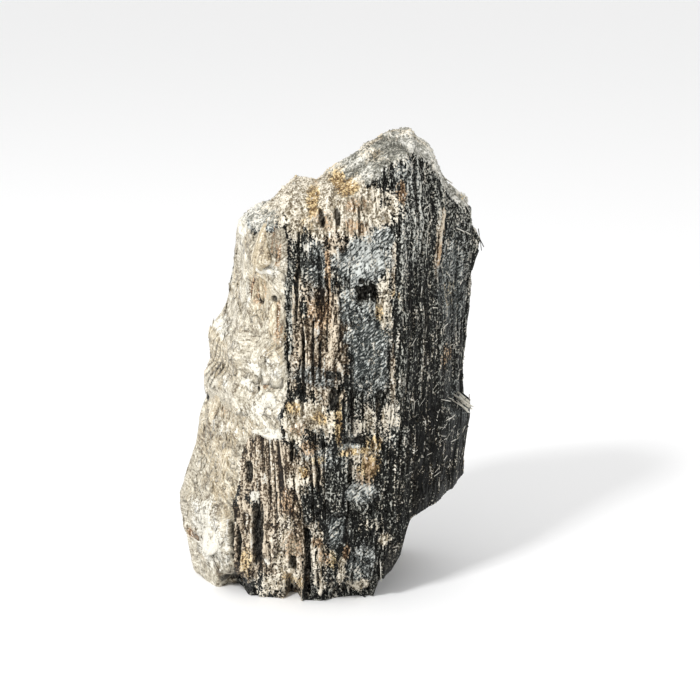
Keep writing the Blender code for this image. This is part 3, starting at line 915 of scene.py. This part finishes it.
def lump_colours_group(three_tone):
    """Colour, roughness and height over the lump: every zone in its own three tones, laid over each other
    by its mask, whose edge the strokes and speckles fray. Over all of it the dark mask lays painted shade,
    with painted glints in that shade."""
    names = [zone[0] for zone in ZONES[1:]] + ["relief", "dark", "sheet", "painted_light_and_tone", "tone"]
    tree, given, wanted = new_group(
        "lump colours", [("Vector", "Vector", None)] + [(name, "Float", 0.0) for name in names],
        [("Color", "Color"), ("Roughness", "Float"), ("Height", "Float")])
    place = given["Vector"]
    fine = noise_at(tree, place, 3.1, (1, 1, 0.36))
    wide = noise_at(tree, place, 1.3, (1, 1, 0.08), detail=3.0)
    slant = noise_at(tree, place, 3.2, (1, 1, 0.24), turn=-0.85)
    speckle = noise_at(tree, place, 2.5, detail=2.5, roughness=0.6)
    blotch = noise_at(tree, place, 0.3, detail=4.0, roughness=0.6)
    strokes = together(tree, fine, wide, slant)
    sheet_strokes = together(tree, sheet_lines(tree, place, given["sheet"]), 0.0, 0.0)
    # The relief in the grain is painted light and shade: raised places lighter, sunk ones darker.
    grain = together(tree, speckle, blotch, given["relief"])
    small_fray = maths(tree, "MULTIPLY", speckle, 2.2)
    large_fray = maths(tree, "MULTIPLY", blotch, 1.5)
    fray = maths(tree, "ADD", maths(tree, "MULTIPLY", wide, 2.2), maths(tree, "ADD", small_fray, large_fray))
    calm_fray = maths(tree, "MULTIPLY", fray, 0.45)

    colour = roughness = height = None
    for name, stroke_strength, grain_strength, own, painted_light_and_tone, bias, rough, dark, middle, light in ZONES:
        bias = maths(tree, "ADD", maths(tree, "MULTIPLY", given["tone"], own), bias)
        if painted_light_and_tone:
            bias = maths(tree, "ADD", maths(tree, "MULTIPLY", given["painted_light_and_tone"], painted_light_and_tone), bias)
        tone = use_group(tree, three_tone, Strokes=sheet_strokes if name in SHEETED else strokes,
                         Stroke_Strength=stroke_strength, Grain=grain, Grain_Strength=grain_strength,
                         Bias=bias, Dark=dark, Middle=middle, Light=light)
        if colour is None:
            colour, height, roughness = tone["Color"], tone["Value"], rough
            continue
        mask = maths(tree, "MULTIPLY", given[name], given["mica"]) if name == "tan" else given[name]
        frayed = maths(tree, "ADD", mask, calm_fray if name in CALM else fray)
        share = ease(tree, frayed, *(SOFT_EDGE if name in SOFT else FIRM_EDGE))
        colour = blend_colour(tree, share, colour, tone["Color"])
        height = blend_value(tree, share, height, tone["Value"])
        roughness = blend_value(tree, share, roughness, rough)
    # Painted shade: where the dark mask is high the colour turns towards a near-black shade, into which fine
    # noise and speckle paint glints.
    gleam = ease(tree, maths(tree, "ADD", fine, speckle), -0.06, 0.2)
    shade = blend_colour(tree, gleam, srgb(13, 11, 8), srgb(88, 86, 79))
    colour = blend_colour(tree, maths(tree, "MULTIPLY", given["dark"], DARKEST), colour, shade)
    tree.links.new(colour, wanted["Color"])
    tree.links.new(height, wanted["Height"])
    roughness = maths(tree, "ADD", maths(tree, "MULTIPLY", speckle, 0.5), roughness, True)
    tree.links.new(roughness, wanted["Roughness"])
    return tree


def lump_material(name, group, bump, specular, coat=0.0):
    """The lump's finish on a mesh with masks: colour, roughness and a bump of this many millimetres."""
    material = bpy.data.materials.new(name)
    material.use_nodes = True
    tree = material.node_tree
    shader = tree.nodes["Principled BSDF"]
    shader.inputs["Specular IOR Level"].default_value = specular
    shader.inputs["Coat Weight"].default_value = coat
    place = put(tree, "ShaderNodeTexCoord").outputs["Object"]
    millimetres = combine(tree, "MULTIPLY", place, (1 / MM,) * 3)
    finish = put(tree, "ShaderNodeGroup", node_tree=group)
    tree.links.new(millimetres, finish.inputs["Vector"])
    for socket in finish.inputs[1:]:
        tree.links.new(put(tree, "ShaderNodeAttribute", attribute_name=socket.name).outputs["Fac"], socket)
    tree.links.new(finish.outputs["Color"], shader.inputs["Base Color"])
    tree.links.new(finish.outputs["Roughness"], shader.inputs["Roughness"])
    bumped = put(tree, "ShaderNodeBump",
                 [("Strength", 1.0), ("Distance", bump * MM), ("Height", finish.outputs["Height"])])
    tree.links.new(bumped.outputs[0], shader.inputs["Normal"])
    return material


def plain_material(name, colour, roughness):
    """One colour and one roughness all over."""
    material = bpy.data.materials.new(name)
    material.use_nodes = True
    shader = material.node_tree.nodes["Principled BSDF"]
    shader.inputs["Base Color"].default_value = colour
    shader.inputs["Roughness"].default_value = roughness
    return material


# ---------------------------------------------------------------- the pieces

LOOSE_FLAKES, SLIVERS, GRAINS, LOOSE_SPLINTERS = 900, 1500, 4200, 160


def small_pieces(surface, normals, masks, area, materials):
    """Loose-edged flakes on the mica, slivers along the columns, and grains on the crusts and the top."""
    rng = np.random.default_rng(11)
    made = []
    mica = masks["mica"] * (1 - masks["on_top"])
    above = smoothstep(1.2, 4, surface[:, 2] - base_height(*(surface[:, :2] + PLAN_CENTRE).T))

    where = pick(rng, area * above * mica ** 2, LOOSE_FLAKES)
    size = 0.4 + 1.6 * rng.random(len(where)) ** 3
    frames = frames_at(normals, where, 1.0, 0.16, rng)
    made.append(strew("mica_flakes", *lens_shapes(rng, size, 0.08), where, frames, surface, masks,
                      materials["flakes"]))

    columns_here = np.clip(1 - masks["mica"] - masks["on_top"] - 0.6 * masks["pearl"].clip(0, 1), 0, 1)
    columns_here = columns_here * (surface[:, 2] > 4) * (surface[:, 0] > -19)
    where = pick(rng, area * above * columns_here, SLIVERS)
    width = 0.12 + 0.22 * rng.random(len(where))
    length = 0.9 + 4.0 * rng.random(len(where)) ** 2
    frames = frames_at(normals, where, 0.035, 0.09, rng)
    made.append(strew("tourmaline_slivers", *sliver_shapes(rng, width, length), where, frames, surface, masks,
                      materials["slivers"]))

    crusty = 0.7 * masks["on_top"] + masks["cream"].clip(0, 1) + masks["ochre"].clip(0, 1) + 0.15
    where = pick(rng, area * above * crusty * (1 - 0.9 * mica), GRAINS)
    size = 0.11 + 0.2 * rng.random(len(where)) ** 2
    frames = frames_at(normals, where, 1.0, 1.0, rng)
    made.append(strew("crust_grains", *grain_shapes(rng, size), where, frames, surface, masks,
                      materials["grains"]))
    return made


# Named flakes on the mica, as (x, z, width, height, turn in degrees, lean out, bulge, taper, finish).
FLAKES = [
    # The first rust leaf is painted shade: a dark brown sheet along the right side of the tan flake after it.
    (-12.3, 69.4, 0.7, 4.2, -6, -0.12, 1.5, 0.3, "rust"),
    (-12.9, 71.2, 3.6, 9.4, -8, -0.16, 1.3, 0.8, "tan"),
    (-12.5, 66.5, 1.8, 4.6, 98, 0.0, 0.7, 0.2, "white"), (-11.0, 68.4, 2.0, 2.0, 30, 0.10, 0.4, 0, "mica"),
    (-14.5, 62.0, 1.1, 5.6, 18, 0.10, 0.4, 0, "tan"), (-14.9, 62.8, 0.8, 4.4, 16, 0.12, 0.3, 0, "rust"),
    (-13.2, 62.6, 0.9, 4.6, -8, 0.10, 0.4, 0, "tan"), (-17.0, 60.6, 3.6, 4.0, 10, 0.06, 0.4, 0.5, "mica"),
    (-14.2, 47.6, 2.4, 1.6, 60, 0.10, 0.4, 0, "white"), (-15.9, 44.2, 2.2, 1.3, 70, 0.10, 0.4, 0, "white"),
    (-12.8, 34.5, 1.5, 6.4, 88, 0.03, 0.4, 0, "white"), (-24.3, 11.5, 5.4, 9.0, 8, 0.02, 0.4, 0, "white"),
    (-14.5, 22.2, 1.0, 1.5, 35, 0.10, 0.1, 0.3, "white"),
    (-15.0, 21.0, 0.8, 1.6, 80, 0.10, 0.1, 0.2, "white"),
    (-17.6, 72.6, 2.4, 2.0, 60, 0.05, 0.4, 0, "white"), (-16.6, 66.0, 3.0, 6.0, -14, 0.02, 0.4, 0, "mica"),
    (-11.0, 57.5, 2.0, 6.5, 4, 0.02, 0.5, 0, "tan"), (-18.5, 54.5, 4.0, 5.0, 30, 0.02, 0.4, 0, "mica"),
    (-23.5, 36.0, 3.4, 8.0, 24, 0.02, 0.5, 0, "tan"), (-12.0, 41.5, 3.2, 3.6, 50, 0.03, 0.4, 0, "white"),
    (-21.5, 26.0, 4.2, 7.0, 16, 0.02, 0.5, 0, "tan"),
]

# Pale splinters, as (x, z, length, width, turn in degrees, lean out).
SPLINTERS = [
    (25.0, 37.6, 4.4, 0.42, 132, 0.75), (24.6, 38.2, 4.6, 0.36, 126, 0.65),
    (25.3, 36.8, 3.6, 0.32, 140, 0.8), (25.4, 38.4, 3.4, 0.28, 136, 0.8), (24.2, 37.2, 3.8, 0.24, 122, 0.6),
    (25.6, 37.4, 3.0, 0.34, 146, 0.9), (22.2, 38.6, 2.8, 0.16, 104, 0.2), (23.2, 38.4, 2.4, 0.13, 112, 0.3),
    (23.4, 34.9, 2.6, 0.16, 48, 0.2), (22.6, 35.3, 2.0, 0.12, 60, 0.2), (22.4, 26.8, 1.6, 0.13, 30, 0.2),
    (23.8, 29.6, 2.2, 0.12, 60, 0.2), (21.8, 53.6, 2.4, 0.14, 48, 0.2), (22.9, 49.4, 2.2, 0.13, 66, 0.2),
    (22.6, 81.6, 3.4, 0.2, 128, 0.1), (24.4, 79.4, 3.6, 0.22, 134, 0.1), (25.6, 77.6, 2.6, 0.2, 140, 0.1),
    (24.4, 72.6, 3.4, 0.2, 116, 0.1), (26.4, 71.6, 2.4, 0.22, 122, 0.1), (23.0, 59.8, 1.6, 0.16, 40, 0.1),
    (25.4, 61.0, 1.4, 0.4, 20, 0.1), (9.5, 7.0, 5.6, 0.13, -3, 0.0), (21.0, 66.0, 2.0, 0.12, 30, 0.1),
    (22.6, 64.0, 2.2, 0.12, -40, 0.1), (17.6, 50.0, 2.0, 0.1, 20, 0.1), (20.2, 42.0, 2.2, 0.1, 35, 0.1),
    (18.9, 45.0, 1.8, 0.1, -20, 0.1),
]


def leaf_shape(width, height, bulge, turn, taper):
    """A closed leaf: a grid of 9 by 11 points bulging outwards, narrowing unevenly to both ends, and the
    same grid flattened behind it, joined all round. Taper narrows its upper half and widens its lower half.
    Its own frame is across, along and out."""
    u, v = np.meshgrid(np.linspace(-1, 1, 9), np.linspace(-1, 1, 11))
    reach = np.sqrt(np.clip(1 - np.abs(v) ** 3.2, 0.02, 1))
    reach = reach * (1 + 0.16 * np.sin(3.1 * v + turn)) * (1 - taper * v)
    x = 0.5 * width * u * reach + 0.12 * width * np.sin(2.3 * v + turn)
    y = 0.5 * height * v + 0.08 * width * np.sin(4 * u + turn)
    rise = bulge * (1 - u**2) * reach + 0.06 * np.sin(7 * u + 3 * v)
    front = np.stack([x, y, rise + 0.1], -1)
    behind = np.stack([x, y, 0.35 * rise - 0.35], -1)
    index = np.arange(u.size).reshape(u.shape)
    quads = grid_quads(index)
    rim = np.concatenate([index[0, :-1], index[:-1, -1], index[-1, :0:-1], index[:0:-1, 0]])
    after = np.roll(rim, -1)
    sides = np.stack([after, rim, rim + u.size, after + u.size], -1)
    points = np.concatenate([front.reshape(-1, 3), behind.reshape(-1, 3)])
    return points, np.concatenate([quads, quads[:, ::-1] + u.size, sides])


def on_front(surface, normals, x, z):
    """The surface point nearest to this place as seen from the front."""
    away = np.hypot(surface[:, 0] - x + PLAN_CENTRE[0], surface[:, 2] - z) + 50 * (normals[:, 1] > 0.1)
    return int(np.argmin(away))


def turned_frame(normal, turn, lean):
    """A frame on the surface whose long way is turned this many degrees from upright, clockwise as seen from
    outside, leaning out at the top."""
    angle = np.radians(turn)
    level = np.array([-normal[1], normal[0], 0]) / np.hypot(normal[0], normal[1])
    along = np.sin(angle) * level + np.cos(angle) * np.cross(normal, level)
    along = along + lean * normal
    along /= np.linalg.norm(along)
    across = np.cross(along, normal)
    across /= np.linalg.norm(across)
    return np.stack([across, along, np.cross(across, along)])


def named_flakes(surface, normals, masks, material):
    """The flakes of the table as one piece. Each is a leaf with one finish, whose sheets go on from those of
    the ground at its foot. All but the rust ones are mica underneath."""
    points, quads, values = [], [], {key: [] for key in masks}
    for x, z, width, height, turn, lean, bulge, taper, finish in FLAKES:
        spot = on_front(surface, normals, x, z)
        shape, faces = leaf_shape(width, height, bulge, turn, taper)
        quads.append(faces + sum(map(len, points)))
        points.append(shape @ turned_frame(normals[spot], turn, lean) + surface[spot])
        own = dict.fromkeys(masks, 0.0)
        own.update(mica=float(finish != "rust"), tone=0.4, sheet=masks["sheet"][spot] + 0.9 * shape[:, 0])
        own[finish] = 1.0
        for key, value in own.items():
            values[key].append(value + 0 * shape[:, 0])
    values = {key: np.concatenate(parts) for key, parts in values.items()}
    points, quads = np.concatenate(points), np.concatenate(quads)
    return write_mesh("named_flakes", points, quads, NO_TRIANGLES, values, material)


def splinters(surface, normals, masks, material, rng):
    """The pale splinters of the table, and many short ones scattered over the dark side, each as a sliver
    that leans out of the surface from its foot."""
    right = (surface[:, 0] > 14) * (normals[:, 1] < 0.2) * (surface[:, 2] > 24) * 1.0
    loose = pick(rng, right, LOOSE_SPLINTERS)
    named = np.array(SPLINTERS)
    where = np.concatenate([[on_front(surface, normals, x, z) for x, z in named[:, :2]], loose])
    length = np.concatenate([named[:, 2], rng.uniform(0.5, 2.2, len(loose))])
    width = np.concatenate([named[:, 3], rng.uniform(0.06, 0.13, len(loose))])
    turn = np.concatenate([named[:, 4], rng.uniform(-80, 80, len(loose))])
    lean = np.concatenate([named[:, 5], np.full(len(loose), 0.12)])
    facing = normals[where] + np.outer(np.arange(len(where)) < len(named), (0, -2, 0))
    facing /= np.linalg.norm(facing, axis=1, keepdims=True)
    frames = np.stack([turned_frame(*given) for given in zip(facing, turn, lean)])
    pale = {key: np.zeros(len(mask)) for key, mask in masks.items()}
    pale["white"][:] = 1
    shapes, quads, triangles = sliver_shapes(rng, width, length)
    shapes[..., 1] += (0.4 * length * (lean > 0.3))[:, None]
    shapes[..., 2] += 0.35 * width[:, None] + 0.05
    return strew("white_splinters", shapes, quads, triangles, where, frames, surface, pale, material)


def point_areas(points):
    """How much surface each grid point stands for."""
    along = np.linalg.norm(np.roll(points, -1, 1) - points, axis=-1)
    up = np.linalg.norm(np.gradient(points, axis=0), axis=-1)
    return along * up


def build_pieces():
    """The lump's closed patches and all the small pieces on it, with their masks and finishes."""
    points, (first_side, first_top), starts = form_grid()
    normals = grid_normals(points)
    moved, masks = break_up(points, normals, first_side, first_top)
    moved[..., :2] -= PLAN_CENTRE
    group = lump_colours_group(three_tone_group())
    materials = {
        "mica": lump_material("mica_skin", group, 0.14, 0.3, 0.04),
        "columns": lump_material("tourmaline_columns", group, 0.24, 0.12),
        "top": lump_material("broken_crust", group, 0.28, 0.2),
        "flakes": lump_material("mica_flake", group, 0.08, 0.5, 0.15),
        "slivers": lump_material("tourmaline_sliver", group, 0.1, 0.25),
        "grains": lump_material("crust_grain", group, 0.1, 0.3),
    }
    made = []
    for name, (first, last) in SECTORS.items():
        cols = (starts[first], starts[last] + 1)
        patch = closed_patch(moved, masks, (first_side, first_top), cols, np.array([[0, 0, 40.0]]))
        made.append(write_mesh(name, *patch, materials["mica" if name == "mica_side" else "columns"]))
    count = moved.shape[1]
    top_core = np.array([[0, 0, 45.0], moved[-1].mean(0)])
    base_core = np.array([moved[0].mean(0), [0, 0, 35.0]])
    for name, rows, core in (("broken_top", (first_top - 1, len(moved)), top_core),
                             ("broken_base", (0, first_side + 1), base_core)):
        made.append(write_mesh(name, *closed_patch(moved, masks, rows, (0, count), core), materials["top"]))
    flat_masks = {key: mask.reshape(-1) for key, mask in masks.items()}
    surface, out = moved.reshape(-1, 3), normals.reshape(-1, 3)
    made += small_pieces(surface, out, flat_masks, point_areas(points).reshape(-1), materials)
    made.append(named_flakes(surface, out, flat_masks, materials["flakes"]))
    made.append(splinters(surface, out, flat_masks, materials["flakes"], np.random.default_rng(12)))
    return made


# ---------------------------------------------------------------- light and camera

VIEW_HEIGHT = 14                  # degrees above level
VIEW_DISTANCE = 360 * MM
VIEW_WIDTH = 140 * MM             # what the frame spans at the lump
VIEW_AIM = Vector((4.01 * MM, 0.73 * MM, 47.3 * MM))
FLOOR_REACH = 3.0
SKY_STRENGTH = 0.92


def add_camera():
    """Looks level with the lump's middle from the front, tipped down by the view height."""
    data = bpy.data.cameras.new("camera")
    data.sensor_width = 36
    data.lens = 36 * VIEW_DISTANCE / VIEW_WIDTH
    data.clip_start = 0.01
    camera = bpy.data.objects.new("camera", data)
    rise = np.radians(VIEW_HEIGHT)
    camera.location = VIEW_AIM + Vector((0, -np.cos(rise), np.sin(rise))) * VIEW_DISTANCE
    camera.rotation_euler = (np.pi / 2 - rise, 0, 0)
    bpy.context.scene.collection.objects.link(camera)
    bpy.context.scene.camera = camera


def add_light(name, place, size, power):
    """A square white light that points at the lump's middle."""
    data = bpy.data.lights.new(name, "AREA")
    data.size = size
    data.energy = power
    light = bpy.data.objects.new(name, data)
    light.location = place
    light.rotation_euler = (VIEW_AIM - Vector(place)).to_track_quat("-Z", "Y").to_euler()
    bpy.context.scene.collection.objects.link(light)


def add_floor():
    """A pale square floor, which is staging and no part of the lump."""
    mesh = bpy.data.meshes.new("floor")
    corners = [(x * FLOOR_REACH, y * FLOOR_REACH, 0) for x, y in ((-1, -1), (1, -1), (1, 1), (-1, 1))]
    mesh.from_pydata(corners, [], [(0, 1, 2, 3)])
    floor = bpy.data.objects.new("floor", mesh)
    mesh.materials.append(plain_material("pale_floor", (0.93, 0.93, 0.93, 1), 0.6))
    bpy.context.scene.collection.objects.link(floor)


def add_world():
    """Even white light from all round."""
    world = bpy.data.worlds.new("studio")
    bpy.context.scene.world = world
    world.use_nodes = True
    world.node_tree.nodes["Background"].inputs["Color"].default_value = (1, 1, 1, 1)
    world.node_tree.nodes["Background"].inputs["Strength"].default_value = SKY_STRENGTH


for piece in build_pieces():
    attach(piece, "root")
    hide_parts(NODE)
add_camera()
add_light("key", (-0.40, -0.50, 0.62), 0.14, 5.0)
add_floor()
add_world()
bpy.context.scene.view_settings.view_transform = "Standard"
